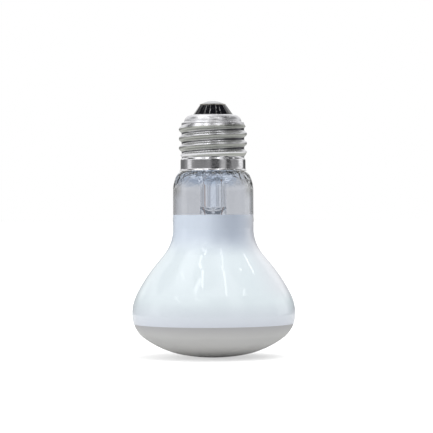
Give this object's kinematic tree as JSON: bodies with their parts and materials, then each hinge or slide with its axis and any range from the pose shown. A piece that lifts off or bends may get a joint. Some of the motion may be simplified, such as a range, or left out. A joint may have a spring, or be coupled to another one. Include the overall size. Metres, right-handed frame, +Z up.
{
  "type": "reptile basking bulb",
  "caption": "Reflector basking lamp: domed frosted face, white reflector flank, clear neck over a glass stem and filament, and a screw cap.",
  "frame": {"origin": "lowest point of the domed face, on the lamp's axis", "axes": "+Z up the lamp's axis from the face to the cap's centre contact; -Y is the side seen in the picture; the wires in the stem lie in the XZ plane"},
  "size_m": [0.063, 0.063, 0.0989],
  "materials": {
    "clear_glass": "clear blown glass",
    "white_coating": "smooth white lining behind glass",
    "frosting": "satin grey frosting behind glass",
    "stem_glass": "clear pressed glass",
    "copper": "drawn copper wire",
    "nickel": "drawn nickel wire",
    "tungsten": "dark drawn wire",
    "shell_metal": "bright rolled sheet with fine rolling streaks",
    "black_glass": "glossy opaque black glass",
    "contact_brass": "dull brass plate",
    "solder": "bright solder, slightly uneven",
    "cement": "matt baked cement"
  },
  "bodies": {
    "root": {"glass_bulb": "clear_glass", "reflector_coating": "white_coating", "frost_coating": "frosting", "stem_tube": "stem_glass", "exhaust_tube": "stem_glass", "button_rod": "stem_glass", "seal_wire_left": "copper", "seal_wire_right": "copper", "inner_lead_left": "nickel", "inner_lead_right": "nickel", "filament": "tungsten", "support_wire_1": "tungsten", "support_wire_2": "tungsten", "support_wire_3": "tungsten", "screw_shell": "shell_metal", "insulator": "black_glass", "centre_contact": "contact_brass", "centre_solder": "solder", "fuse_wire": "nickel", "centre_lead": "copper", "side_lead": "copper", "side_weld": "solder", "capping_cement": "cement"}
  },
  "joints": []
}
